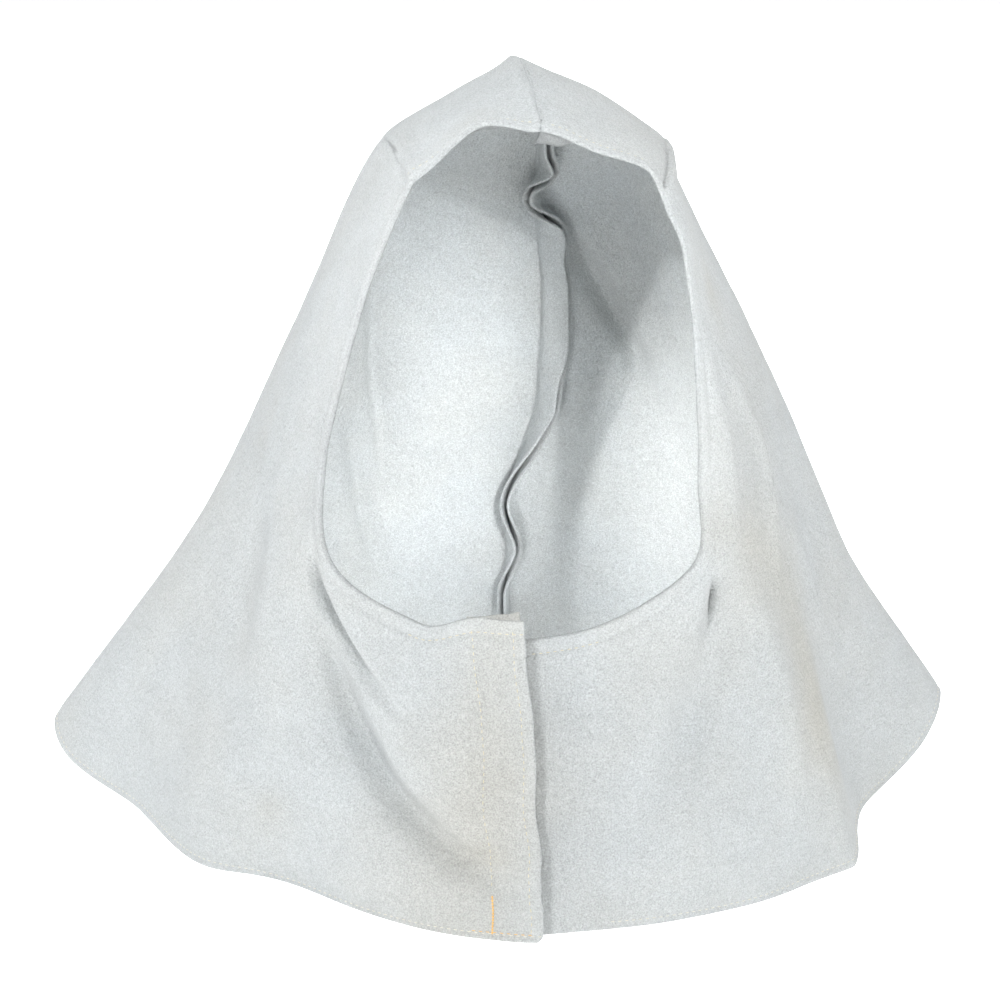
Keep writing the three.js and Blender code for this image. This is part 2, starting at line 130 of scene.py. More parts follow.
# Bends: spoke at the rim, spoke at the hem, half width in spokes, start, end, sharp, push in x, y and z.
FOLDS = {
    "left_cape_flare": (-4, -4, 1.5, 0.45, 1, False, (-13, 6, 4)),
    "left_cape_round": (-3.5, -3.5, 0.7, 0.6, 1, False, (-7, 2, -5)),
    "left_bib_tuck": (-1.2, -1.2, 0.85, 0.35, 1, False, (-3, 12, 0)),
    "left_jaw_pinch": (-2.55, 2.65, 0.28, 0.02, 0.34, False, (4, 8, 0)),
    "left_jaw_valley": (-2.2, 0.3, 0.5, 0.05, 0.97, False, (3, 8, 0)),
    "left_jaw_crease": (-2.2, 0.3, 0.24, 0.05, 0.97, False, (1, 8, 0)),
    "left_cheek_valley": (-3.2, -2, 0.6, 0.25, 0.8, False, (5, 4, 0)),
    "left_brow_lift": (-7.1, -7.1, 0.9, 0, 0.2, False, (-1, 0, 5)),
    "left_dart": (-6, -6, 0.5, 0, 0.25, True, (0, 0, 3)),
    "right_brow_drop": (7.1, 7.1, 0.9, 0, 0.2, False, (-2, 0, -6)),
    "right_brow_fill": (7, 7, 0.8, 0.06, 0.5, False, (1, 0, 2)),
    "right_temple_round": (5.8, 5.8, 0.6, 0, 0.1, False, (-3.5, 0, -1)),
    "right_dart": (6, 6, 0.4, 0.01, 0.4, True, (3, 0, 0)),
    "right_crown_tuck": (5.2, 5.2, 1.1, 0.1, 0.6, False, (-6, 0, 0)),
    "right_rim_lip": (2.8, 2.8, 2, 0, 0.05, False, (-13, -1, 2)),
    "right_bib_rim": (1.3, 1.3, 1.4, 0, 0.25, False, (-1, 0, 5)),
    "right_bib_swell": (1, 1, 0.9, 0.4, 1, False, (0, -9, 0)),
    "right_hem_ridge": (2, 2, 0.55, 0.5, 1, True, (3, -5, 0)),
    "right_jaw_pinch": (1.93, 0.05, 0.18, 0.005, 0.24, True, (-2, 8, 0)),
    "right_jaw_valley": (1.93, 0.05, 0.38, 0.02, 0.7, False, (-2, 8, 0)),
    "right_jaw_ridge": (2.1, 1.6, 0.4, 0.03, 0.95, True, (5, -8, 0)),
    "right_ridge_high": (4.75, -2.5, 0.5, 0.05, 0.4, True, (4, -2, 0)),
    "right_ridge_low": (2.6, 3.3, 0.5, 0.2, 0.95, True, (4, -2, 0)),
    "right_cape_tuck": (3, 3, 1.2, 0.35, 1, False, (-24, -8, 3)),
    "right_cape_round": (3.5, 3.5, 0.7, 0.6, 1, False, (8, -2, -4)),
    "right_cape_lift": (4, 4, 1.2, 0.6, 1, False, (-9, 12, 14)),
    "right_back_valley": (7.3, 7.3, 0.75, 0.4, 0.9, False, (0, 14, 4)),
    "right_back_crease": (10.85, 5.85, 0.22, 0.52, 0.82, False, (0, 9, 0)),
    "right_back_bend": (5.25, 8, 0.22, 0.66, 0.93, False, (0, 6, 0)),
    "left_back_valley": (-5, -7.5, 0.35, 0.5, 0.94, False, (-2, 7, 0)),
    "left_back_crease": (-5, -7.5, 0.13, 0.5, 0.9, False, (-2, 4, 0)),
    "left_back_wrinkle": (-3.8, -7.5, 0.14, 0.68, 0.97, False, (-2, 5, 0)),
}
CREASE_POWER = 1.5          # profile of a sharp bend

FOREHEAD_SWAY = 7           # how far the crown leans to the viewer's right at the forehead
SWAY_FADES_AT = 0.25
SWAY_SPOKES = (4, 6)
SEAM_REACH = 2              # spokes over which the leather follows the seam's path
# Place along the seam and its shift in x, then the lean of the leaves' free edge.
SEAM_PATH = [(0, 0), (0.25, -2), (0.45, 10), (0.5, 10), (0.58, 9), (0.66, 13), (0.7, 13), (0.75, 11),
             (0.86, -7), (1, -6)]
LEAF_BENDS = [(0, 0), (0.38, 0), (0.45, 3), (0.5, 4), (0.535, 8), (0.552, -6), (0.562, -6), (0.607, 13),
              (0.63, 12), (0.7, 13), (0.76, 9), (0.84, -3), (0.885, 6), (0.925, -4), (0.96, -4), (1, 0)]
LEAN_POWER = 1.3

# How far the loose edge of the turned rim hem hangs inwards: spoke and droop.
HEM_DROOPS = [(-8, 5), (-7.3, 4), (-6.6, 0), (7.3, 0), (7.6, 8), (8, 10)]
DROOP_POWER = 1.3
HEM_RAGGED = (1.6, 9, 21)   # unevenness of that loose edge: height, wavelength and seed

# Small forms that the sewing leaves: rolled rim, grooves under the stitches, darts and the crown seam.
RIM_ROLL = 0.45
ROLL_RISES_OVER = 2
ROLL_FADES_FROM = 4
ROLL_FADES_OVER = 3
STITCH_GROOVE = 0.6
GROOVE_WIDTH = 1.3
HEM_GROOVE = 0.3
DART_SPOKE = 6
DART_STARTS_AT = 0.02
DART_FADES_FROM = 0.14
DART_FADES_OVER = 0.14
# Height of the leather on the two sides of a dart, and how far it reaches from it.
DARTS = {-1: {"crown": 2.0, "cheek": 0, "reach": 9}, 1: {"crown": 0, "cheek": 2.4, "reach": 7}}
DART_GROOVE = 1.0
SEAM_STEPS = {-1: 0.9, 1: -0.3}    # height of each half beside the crown seam
SEAM_STEP_REACH = 10
SEAM_STEP_FULL_AT = 0.04
SEAM_STEP_FADES_FROM = 0.25
SEAM_STEP_FADES_OVER = 0.15

# Gentle unevenness of the leather: height, wavelength and seed.
WAVES = [(1.7, 80, 3), (0.9, 38, 5), (0.2, 13, 8)]
NOISE_CELLS = 24
# It grows with the distance from the front edge and the seam, in spokes, and from the floor.
CALM_FRONT = 0.3
CALM_FRONT_REACH = 0.8
CALM_SEAM_REACH = 0.5
CALM_FLOOR_REACH = 25


def smooth(t):
    t = np.clip(t, 0, 1)
    return t * t * (3 - 2 * t)


def look_up(rows, place):
    """The value at a place along a table of (place, value) rows, eased between rows."""
    places, values = np.array(rows, float).T
    after = np.clip(np.searchsorted(places, place), 1, len(places) - 1)
    share = smooth((place - places[after - 1]) / (places[after] - places[after - 1]))
    return values[after - 1] + (values[after] - values[after - 1]) * share


def spline_weights(position, count):
    """Weights of count points on a uniform Catmull-Rom line at positions counted in points."""
    points = np.eye(count)
    padded = np.concatenate([2 * points[:1] - points[1:2], points, 2 * points[-1:] - points[-2:-1]])
    position = np.clip(position, 0, count - 1)
    first = np.minimum(np.floor(position).astype(int), count - 2)
    t = (position - first)[..., None]
    before, start, end, after = (padded[first + k] for k in range(4))
    slope_start = (end - before) / 2
    slope_end = (after - start) / 2
    cubic = 2 * start - 2 * end + slope_start + slope_end
    square = -3 * start + 3 * end - 2 * slope_start - slope_end
    return ((cubic * t + square) * t + slope_start) * t + start


RIGHT_SPOKES = np.array(list(SPOKES.values()), float)
ALL_SPOKES = np.concatenate([RIGHT_SPOKES[:0:-1] * (-1, 1, 1), RIGHT_SPOKES])


def fold_share(fold, spoke, place):
    """How much of a fold's push acts at spokes and places."""
    at_rim, at_hem, wide, start, end, sharp, _ = fold
    side = np.clip(1 - np.abs(spoke - at_rim - (at_hem - at_rim) * place) / wide, 0, 1)
    across = side**CREASE_POWER if sharp else smooth(side)
    rises = start > 0
    falls = end < 1
    if rises and falls:
        top = (start + end) / 2
    else:
        top = end if rises else start
    rise = smooth((place - start) / (top - start)) if rises else 1
    fall = 1 - smooth((place - top) / (end - top)) if falls else 1
    return across * rise * fall


def shell(spoke, place):
    """The middle of the leather, in millimetres, at spokes and places given as arrays of one shape."""
    spoke, place = np.broadcast_arrays(np.asarray(spoke, float), np.asarray(place, float))
    round_weights = spline_weights(spoke + SEAM_SPOKE, len(ALL_SPOKES))
    down_weights = spline_weights(place * (STATIONS - 1), STATIONS)
    point = np.einsum("...i,...j,ijk->...k", round_weights, down_weights, ALL_SPOKES)
    for fold in FOLDS.values():
        point += fold_share(fold, spoke, place)[..., None] * np.array(fold[-1], float)
    out = np.abs(spoke)
    low, high = SWAY_SPOKES
    point[..., 0] += FOREHEAD_SWAY * smooth(1 - place / SWAY_FADES_AT) * smooth((out - low) / (high - low))
    point[..., 0] += look_up(SEAM_PATH, place) * smooth((out - SEAM_SPOKE + SEAM_REACH) / SEAM_REACH)
    point[..., 2] = np.maximum(point[..., 2], 0)
    return point


def unit(vectors):
    return vectors / np.maximum(np.linalg.norm(vectors, axis=-1, keepdims=True), TINY)


def shell_normal(spoke, place):
    down = shell(spoke, np.minimum(place + STEP, 1)) - shell(spoke, np.maximum(place - STEP, 0))
    right = np.minimum(spoke + STEP, SEAM_SPOKE)
    left = np.maximum(spoke - STEP, -SEAM_SPOKE)
    return unit(np.cross(down, shell(right, place) - shell(left, place)))


def spoke_at_x(x, place):
    """The spoke that passes through x on the front, where spokes run almost evenly in x."""
    width = shell(1, place)[..., 0] - shell(0, place)[..., 0]
    spoke = x / width
    for _ in range(EDGE_SEARCHES):
        spoke = spoke + (x - shell(spoke, place)[..., 0]) / width
    return spoke


def lap_edge(place):
    return look_up(PLACKET_EDGE, place)


def noise(points, wavelength, seed):
    """Smooth noise between -1 and 1 from a seeded lattice of values."""
    lattice = np.random.default_rng(seed).uniform(-1, 1, (NOISE_CELLS,) * 3)
    cell = np.floor(points / wavelength).astype(int)
    share = smooth(points / wavelength - cell)
    total = 0
    for corner in np.ndindex(2, 2, 2):
        weight = np.prod(np.where(corner, share, 1 - share), axis=-1)
        total = total + weight * lattice[tuple(np.moveaxis((cell + corner) % NOISE_CELLS, -1, 0))]
    return total


def ragged(form, points):
    """Noise of one form, given by its height, wavelength and seed."""
    height, wavelength, seed = form
    return height * noise(points, wavelength, seed)


def unevenness(points):
    return sum(ragged(wave, points) for wave in WAVES)


def leaf_middle(place, width):
    """The middle of the pair of seam leaves at a place along the seam and a width from the seam."""
    def seam(at):
        return shell(SEAM_SPOKE, np.clip(at, 0, 1))
    inward = unit(np.cross(seam(place + STEP) - seam(place - STEP), (1.0, 0.0, 0.0)))
    lean = look_up(LEAF_BENDS, place) / LEAF_WIDTH
    upright = np.sqrt(np.maximum(1 - lean**2, LEAST_LEAF_DEPTH**2))
    point = seam(place) + inward * (upright * width)[..., None]
    point[..., 0] += lean * LEAF_WIDTH * (width / LEAF_WIDTH) ** LEAN_POWER
    return point


def leaf(side, place, width):
    """The middle of one half's own leaf."""
    down = leaf_middle(np.minimum(place + STEP, 1), width) - leaf_middle(np.maximum(place - STEP, 0), width)
    inward = leaf_middle(place, width + STEP) - leaf_middle(place, np.maximum(width - STEP, 0))
    across = unit(np.cross(inward, down))
    air = LEAF_GAP + (LEAF_GAP_EDGE - LEAF_GAP) * width / LEAF_WIDTH
    return leaf_middle(place, width) + across * (side * (LEATHER + air) / 2)[..., None]


def places_at_lengths(spoke_of, columns, lengths_of):
    """For each column, the places at which its line down the leather reaches the asked lengths."""
    place = np.linspace(0, 1, LENGTH_SAMPLES)[:, None]
    line = shell(spoke_of(columns, place), np.broadcast_to(place, (LENGTH_SAMPLES, columns.size)))
    steps = np.linalg.norm(np.diff(line, axis=0), axis=-1)
    length = np.concatenate([np.zeros((1, columns.size)), np.cumsum(steps, axis=0)])
    asked = np.stack([lengths_of(whole) for whole in length[-1]], axis=1)
    found = [np.interp(asked[:, k], length[:, k], place[:, 0]) for k in range(columns.size)]
    return np.stack(found, axis=1), asked


# Lengths from the rim at which a panel's outer layer has its rows.
FOLD_START = (FOLD_SPACING + LEATHER) / 2


def body_lengths(whole):
    rim = np.linspace(FOLD_START, RIM_BAND, RIM_ROWS, endpoint=False)
    body = np.linspace(RIM_BAND, whole - BOTTOM_HEM, BODY_ROWS, endpoint=False)
    hem = np.linspace(whole - BOTTOM_HEM, whole - FOLD_START, HEM_ROWS)
    return np.concatenate([rim, body, hem])


def turned_edge(edge_points, edge_normals, away, spacing):
    """The round fold from the outer layer to the turned one, as rows that leave the outer layer."""
    reach = spacing[:, None] / 2
    turns = np.linspace(0, math.pi, FOLD_ROWS + 2)[1:-1]
    return np.array([edge_points + (away * math.sin(turn) - edge_normals * (1 - math.cos(turn))) * reach
                     for turn in turns])


def sewn_relief(side, spoke, place, length, whole):
    """How far sewing lifts the outer layer along its normal."""
    fade = 1 - smooth((length - ROLL_FADES_FROM) / ROLL_FADES_OVER)
    roll = RIM_ROLL * smooth(length / ROLL_RISES_OVER) * fade
    groove = STITCH_GROOVE * np.exp(-(((length - RIM_STITCH) / GROOVE_WIDTH) ** 2))
    hem = HEM_GROOVE * np.exp(-(((whole - length - HEM_STITCH) / GROOVE_WIDTH) ** 2))
    one_spoke = shell(side * (DART_SPOKE + 0.5), place) - shell(side * (DART_SPOKE - 0.5), place)
    across = (np.abs(spoke) - DART_SPOKE) * np.linalg.norm(one_spoke, axis=-1)
    dart = DARTS[side]
    lift = np.where(across > 0, dart["crown"], dart["cheek"]) * np.exp(-((across / dart["reach"]) ** 2))
    line = DART_GROOVE * np.exp(-((across / GROOVE_WIDTH) ** 2))
    along = smooth(place / DART_STARTS_AT) * (1 - smooth((place - DART_FADES_FROM) / DART_FADES_OVER))
    return roll - groove - hem + (lift - line) * along


def follow(grid, rows, columns):
    """Points of a grid at fractional rows and columns."""
    i = np.clip(np.floor(rows).astype(int), 0, grid.shape[0] - 2)
    j = np.clip(np.floor(columns).astype(int), 0, grid.shape[1] - 2)
    a = (rows - i)[..., None]
    b = (columns - j)[..., None]
    top = grid[i, j] * (1 - b) + grid[i, j + 1] * b
    return top * (1 - a) + (grid[i + 1, j] * (1 - b) + grid[i + 1, j + 1] * b) * a


def row_at_length(layer, wanted):
    """The fractional row of each column at a length from the rim."""
    length = layer["length"]
    rows = np.arange(len(length))
    return np.array([np.interp(wanted[k], length[:, k], rows) for k in range(length.shape[1])])


def outer_layer(side):
    """The outer layer of one half between its two turned hems, on a grid of rows and columns."""
    def front_edge(place):
        return spoke_at_x(lap_edge(place) if side < 0 else np.full(place.shape, UNDERLAP_EDGE), place)

    def spoke_of(share, place):
        front = front_edge(np.broadcast_to(place, np.broadcast_shapes(place.shape, share.shape)))
        return front + (side * SEAM_SPOKE - front) * share

    short_of_seam = 0.5 / SHELL_COLUMNS
    shares = (1 - short_of_seam) * np.linspace(0, 1, SHELL_COLUMNS) ** FRONT_CROWDING
    place, length = places_at_lengths(spoke_of, shares, body_lengths)
    spoke = spoke_of(shares, place)
    normal = shell_normal(spoke, place)
    points = shell(spoke, place)
    lap_from, lap_to = LAP_RISES[side]
    lap = smooth((spoke - lap_from) / (lap_to - lap_from))
    away = -side * LAP * lap
    if side < 0:
        away = away + placket_curl(points[..., 0], place)
        low, high = PLACKET_SPOKES
        rise = smooth((spoke - low) / (high - low)) * (1 - smooth(place / PLACKET_FADES_AT))
        points[..., 2] += PLACKET_RISE * rise
    else:
        low, high = UNDERLAP_SPOKES
        drop = smooth((spoke - low) / (high - low)) * (1 - smooth(place / PLACKET_FADES_AT))
        points[..., 2] -= UNDERLAP_DROP * drop
    out = np.abs(spoke)
    calm = smooth((out - CALM_FRONT) / CALM_FRONT_REACH) * smooth((SEAM_SPOKE - out) / CALM_SEAM_REACH)
    calm = calm * smooth(points[..., 2] / CALM_FLOOR_REACH)
    points = points + unit(normal * (1, 1, 0)) * away[..., None]
    whole = length[-1] + FOLD_START
    relief = unevenness(points) * calm + sewn_relief(side, spoke, place, length, whole)
    points = points + normal * relief[..., None]
    to_seam = np.linalg.norm(points - shell(side * SEAM_SPOKE, place), axis=-1)
    step = SEAM_STEPS[side] * (1 - smooth(to_seam / SEAM_STEP_REACH)) * smooth(place / SEAM_STEP_FULL_AT)
    points[..., 2] += step * (1 - smooth((place - SEAM_STEP_FADES_FROM) / SEAM_STEP_FADES_OVER))
    return {"points": points, "normal": normal, "spoke": spoke, "place": place, "length": length, "lap": lap}


def placket_curl(x, place):
    """How far the front edge of the left half and its facing stand off the leather below."""
    return look_up(PLACKET_CURL, place) * smooth(1 - (lap_edge(place) - x) / CURL_REACH)


def panel_points(side, layer):
    """Grids of the middle of one half: its panel with both turned hems, and its seam leaf."""
    outer = layer["points"]
    normal = layer["normal"]
    length = layer["length"]
    place = layer["place"]
    columns = np.arange(outer.shape[1])
    pressed = layer["lap"][0] if side < 0 else np.zeros(columns.size)
    spacing = FOLD_SPACING + (FLAT_SPACING - FOLD_SPACING) * pressed

    # Turned hem round the face, from its loose edge to the fold
    up = unit(outer[0] - outer[1])
    droop = look_up(HEM_DROOPS, layer["spoke"][0])
    hem = RIM_HEM + ragged(HEM_RAGGED, outer[0])
    inner_rows = []
    for share in np.linspace(1, 0, HEM_ROWS):
        reach = FOLD_START + (hem - FOLD_START) * share
        rows = row_at_length(layer, reach)
        fall = spacing + droop * share**DROOP_POWER
        inner_rows.append(follow(outer, rows, columns) - normal[0] * fall[:, None])
    rim_fold = turned_edge(outer[0], normal[0], up, spacing)[::-1]

    # Turned hem at the bottom, from the fold to its loose edge
    down = unit(outer[-1] - outer[-2])
    full_spacing = np.full(columns.size, FOLD_SPACING)
    hem_fold = turned_edge(outer[-1], normal[-1], down, full_spacing)
    hem_inner = outer[-1:-1 - HEM_ROWS:-1] - normal[-1] * FOLD_SPACING
    panel = np.concatenate([np.array(inner_rows), rim_fold, outer, hem_fold, hem_inner])

    # The rounded bend into the seam and the leaf behind it
    seam_place = place[:, -1]
    full = LEAF_WIDTH_AT_RIM + (LEAF_WIDTH - LEAF_WIDTH_AT_RIM) * smooth(length[:, -1] / LEAF_TAPER)
    full = full + ragged(LEAF_RAGGED, outer[:, -1])
    corner = leaf(side, seam_place, np.zeros(seam_place.size))
    corner[:, 2] += (outer[:, -1, 2] - corner[:, 2]) * BEND_LIFT
    start = leaf(side, seam_place, np.full(seam_place.size, LEAF_BEND))
    bend = []
    for t in np.linspace(0, 1, BEND_COLUMNS + 1)[1:]:
        bend.append(outer[:, -1] * (1 - t) ** 2 + corner * 2 * t * (1 - t) + start * t * t)
    for share in np.linspace(0, 1, LEAF_COLUMNS + 1)[1:]:
        bend.append(leaf(side, seam_place, LEAF_BEND + (full - LEAF_BEND) * share))
    return panel, np.stack(bend, axis=1), len(inner_rows) + len(rim_fold)


def grid_quads(index):
    corners = [index[:-1, :-1], index[1:, :-1], index[1:, 1:], index[:-1, 1:]]
    return np.stack(corners, axis=-1).reshape(-1, 4)


def leather_solid(points, quads, thickness):
    """Both faces and the rounded cut edges of a sheet: points, faces and how many faces lie outside."""
    corners = points[quads]
    face_normal = np.cross(corners[:, 2] - corners[:, 0], corners[:, 3] - corners[:, 1])
    normal = np.zeros_like(points)
    for k in range(4):
        np.add.at(normal, quads[:, k], face_normal)
    normal = unit(normal)
    count = len(points)
    edges = np.concatenate([quads[:, [k, (k + 1) % 4]] for k in range(4)])
    keys = np.sort(edges, axis=1)
    _, first, uses = np.unique(keys, axis=0, return_index=True, return_counts=True)
    rim = edges[first[uses == 1]]
    outward = np.zeros_like(points)
    cut = np.cross(points[rim[:, 1]] - points[rim[:, 0]], normal[rim[:, 0]] + normal[rim[:, 1]])
    for k in range(2):
        np.add.at(outward, rim[:, k], unit(cut))
    on_rim = np.unique(rim)
    number = np.full(count, -1)
    number[on_rim] = 2 * count + np.arange(len(on_rim))
    bulge = points[on_rim] + unit(outward[on_rim]) * thickness * CUT_BULGE
    outside = points + normal * thickness / 2
    inside = points - normal * thickness / 2
    a, b = rim[:, 0], rim[:, 1]
    front_edge = np.stack([b, a, number[a], number[b]], axis=1)
    back_edge = np.stack([number[b], number[a], a + count, b + count], axis=1)
    faces = np.concatenate([quads, front_edge, quads[:, ::-1] + count, back_edge])
    return np.concatenate([outside, inside, bulge]), faces, len(quads) + len(front_edge)


def make_piece(name, points, faces, materials):
    """A smooth mesh, from points in millimetres, that rides on the part's one body."""
    mesh = bpy.data.meshes.new(name)
    mesh.from_pydata((points * MM + OFFSET).tolist(), [], faces)
    mesh.polygons.foreach_set("use_smooth", np.ones(len(faces), bool))
    for material in materials:
        mesh.materials.append(material)
    mesh.update()
    piece = bpy.data.objects.new(name, mesh)
    bpy.context.collection.objects.link(piece)
    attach(piece, "root")
    return piece


def paint(piece, tint):
    """Store a tint for each point, which the suede multiplies into its colour."""
    colours = piece.data.color_attributes.new(TINT, "FLOAT_COLOR", "POINT")
    colours.data.foreach_set("color", np.c_[tint, np.ones(len(tint))].ravel())


def frame_offset():
    """The move, in metres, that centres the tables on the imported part's box and sets the hem on its floor."""
    round_hood, down = BOX_SAMPLES
    spokes = np.linspace(-SEAM_SPOKE, SEAM_SPOKE, round_hood)
    points = shell(*np.meshgrid(spokes, np.linspace(0, 1, down)))
    own = (points.min((0, 1)) + points.max((0, 1))) / 2
    cad = (np.array(cad_low) + np.array(cad_high)) / 2
    return np.array([cad[0] - own[0] * MM, cad[1] - own[1] * MM, cad_low.z])


OFFSET = frame_offset()

# Colours of the leather and the thread, in linear light
OUTSIDE_COLOUR = (0.577, 0.608, 0.619)
INSIDE_COLOUR = (0.765, 0.805, 0.82)
THREAD_COLOUR = (0.64, 0.59, 0.42)
PALE_THREAD_COLOUR = (0.72, 0.70, 0.60)
TACK_COLOUR = (0.80, 0.50, 0.17)
TINT = "tint"
RIM_DARKENING = 0.88             # the fold round the face is painted a little darker
TURNED_HEM_PAINTED_SHADE = 0.75          # and its turned side, against the brow, is painted darker still as shade
WARM = (0.96, 0.925, 0.875)
SIDE_WARMTH_AND_PAINTED_SHADE = (0.95, 0.915, 0.86)
# used for the dirt marks near the hem and rim, and for the painted fold shadow on the placket
DIRT_AND_SHADE = (0.93, 0.915, 0.89)
LEFT_RIM_PAINTED_SHADE = (0.86, 0.86, 0.87)
# Patches of warmer tone, of dirt and of painted shade: spoke, place, spread in spokes, spread in places and
# colour at the middle.
PATCHES = {
    "placket": (-0.22, 0.5, 0.34, 0.75, WARM),
    # painted shadow of a soft fold low on the placket
    "placket_low_painted_shadow": (-0.2, 0.72, 0.16, 0.06, DIRT_AND_SHADE),
    # a warmer tone and painted shade on the side plane beyond the right jaw's ridge
    "right_side_painted_shade": (2.35, 0.35, 0.4, 0.4, SIDE_WARMTH_AND_PAINTED_SHADE),
    "right_side_low_painted_shade": (2.1, 0.68, 0.32, 0.18, SIDE_WARMTH_AND_PAINTED_SHADE),
    "left_hem_mark": (-1.45, 0.78, 0.14, 0.06, DIRT_AND_SHADE),
    "right_rim_mark": (4.55, 0.14, 0.25, 0.04, DIRT_AND_SHADE),
    # painted shade on the outside of the left cheek near the rim
    "left_rim_painted_shade": (-4.2, 0, 2, 0.13, LEFT_RIM_PAINTED_SHADE),
}


def patch_tint(spoke, place):
    tint = np.ones(spoke.shape + (3,))
    for at_spoke, at_place, wide, long, colour in PATCHES.values():
        share = np.exp(-(((spoke - at_spoke) / wide) ** 2) - ((place - at_place) / long) ** 2)
        tint *= 1 - share[..., None] * (1 - np.array(colour))
    return tint


# Suede: scale and detail of each cloud, the levels where it is fully dark and fully light, depths in metres
DRIFT_CLOUD = (13, 3)
DRIFT_RANGE = (0.38, 0.62)
DRIFT_WARMTH = (1.0, 0.985, 0.965)
BLOTCH_CLOUD = (45, 5)
BLOTCH_SHADE = 0.93
TUFT_CLOUD = (420, 3)
FIBRE_CLOUD = (1350, 2)
FIBRE_DEPTH = 0.0009
GRAIN_CLOUD = (330, 4)
GRAIN_DEPTH = 0.0022
CLOUD_RANGE = (0.3, 0.7)
CLOUD_ROUGHNESS = 0.6
SUEDE_SHINE = {"Roughness": 0.95, "Specular IOR Level": 0.12, "Sheen Weight": 0.10, "Sheen Roughness": 0.5}
# Thread: the same for its twist
TWIST_CLOUD = (2600, 2)
TWIST_SHADE = 0.75
SPIN_CLOUD = (3200, 2)
SPIN_STRENGTH = 0.5
SPIN_DEPTH = 0.0002
THREAD_SHINE = {"Roughness": 0.7, "Sheen Weight": 0.2}
# Sockets of the colour mix node
MIX_FIRST = 6
MIX_SECOND = 7
MIX_RESULT = 2


class Nodes:
    """Short names for the nodes of one material."""

    def __init__(self, name, shine):
        self.material = bpy.data.materials.new(name)
        self.material.use_nodes = True
        self.tree = self.material.node_tree
        self.shader = self.tree.nodes["Principled BSDF"]
        self.place = self.tree.nodes.new("ShaderNodeTexCoord").outputs["Object"]
        for socket, value in shine.items():
            self.shader.inputs[socket].default_value = value

    def cloud(self, scale, detail):
        node = self.tree.nodes.new("ShaderNodeTexNoise")
        node.inputs["Scale"].default_value = scale
        node.inputs["Detail"].default_value = detail
        node.inputs["Roughness"].default_value = CLOUD_ROUGHNESS
        self.tree.links.new(self.place, node.inputs["Vector"])
        return node.outputs["Fac"]

    def ball(self, radius):
        """One at the object's origin, falling to nothing at the radius."""
        place = self.tree.nodes.new("ShaderNodeMapping")
        place.inputs["Scale"].default_value = (1 / radius, 1 / radius, 1 / radius)
        node = self.tree.nodes.new("ShaderNodeTexGradient")
        node.gradient_type = "SPHERICAL"
        self.tree.links.new(self.place, place.inputs["Vector"])
        self.tree.links.new(place.outputs["Vector"], node.inputs["Vector"])
        return node.outputs["Fac"]

    def ramp(self, value, low, high, dark, light):
        node = self.tree.nodes.new("ShaderNodeValToRGB")
        node.color_ramp.elements[0].position = low
        node.color_ramp.elements[1].position = high
        node.color_ramp.elements[0].color = (*dark, 1)
        node.color_ramp.elements[1].color = (*light, 1)
        self.tree.links.new(value, node.inputs["Fac"])
        return node.outputs["Color"]

    def times(self, first, second):
        node = self.tree.nodes.new("ShaderNodeMix")
        node.data_type = "RGBA"
        node.blend_type = "MULTIPLY"
        node.inputs["Factor"].default_value = 1
        self.tree.links.new(first, node.inputs[MIX_FIRST])
        self.tree.links.new(second, node.inputs[MIX_SECOND])
        return node.outputs[MIX_RESULT]

    def bump(self, height, strength, distance, below=None):
        node = self.tree.nodes.new("ShaderNodeBump")
        node.inputs["Strength"].default_value = strength
        node.inputs["Distance"].default_value = distance
        self.tree.links.new(height, node.inputs["Height"])
        if below is not None:
            self.tree.links.new(below, node.inputs["Normal"])
        return node.outputs["Normal"]

    def attribute(self, name):
        node = self.tree.nodes.new("ShaderNodeVertexColor")
        node.layer_name = name
        return node.outputs["Color"]

    def finish(self, colour, normal):
        self.tree.links.new(colour, self.shader.inputs["Base Color"])
        self.tree.links.new(normal, self.shader.inputs["Normal"])
        return self.material


def grey(level):
    return (level, level, level)


def suede(name, colour, nap, tuft, bump):
    """Split leather: slow cool and warm drift, blotches, a short nap and small brushed tufts."""
    nodes = Nodes(name, SUEDE_SHINE)
    warmer = tuple(c * w for c, w in zip(colour, DRIFT_WARMTH))
    drift = nodes.ramp(nodes.cloud(*DRIFT_CLOUD), *DRIFT_RANGE, warmer, colour)
    blotch = nodes.ramp(nodes.cloud(*BLOTCH_CLOUD), *CLOUD_RANGE, grey(BLOTCH_SHADE), grey(1))
    tufts = nodes.ramp(nodes.cloud(*TUFT_CLOUD), *CLOUD_RANGE, grey(tuft), grey(1))
    fibre = nodes.cloud(*FIBRE_CLOUD)
    fibres = nodes.ramp(fibre, *CLOUD_RANGE, grey(nap), grey(1))
    tint = nodes.attribute(TINT)
    shade = nodes.times(nodes.times(drift, tint), nodes.times(blotch, nodes.times(tufts, fibres)))
    grain = nodes.bump(nodes.cloud(*GRAIN_CLOUD), bump, GRAIN_DEPTH)
    return nodes.finish(shade, nodes.bump(fibre, bump, FIBRE_DEPTH, grain))


def thread(name, colour):
    """Spun sewing thread with a fine twist."""
    nodes = Nodes(name, THREAD_SHINE)
    dark = tuple(TWIST_SHADE * c for c in colour)
    shade = nodes.ramp(nodes.cloud(*TWIST_CLOUD), *CLOUD_RANGE, dark, colour)
    return nodes.finish(shade, nodes.bump(nodes.cloud(*SPIN_CLOUD), SPIN_STRENGTH, SPIN_DEPTH))


OUTSIDE = suede("suede_outside", OUTSIDE_COLOUR, 0.66, 0.95, 0.75)
INSIDE = suede("suede_inside", INSIDE_COLOUR, 0.64, 0.93, 0.85)
THREAD = thread("thread_yellow", THREAD_COLOUR)
PALE_THREAD = thread("thread_pale", PALE_THREAD_COLOUR)
TACK_THREAD = thread("thread_orange", TACK_COLOUR)


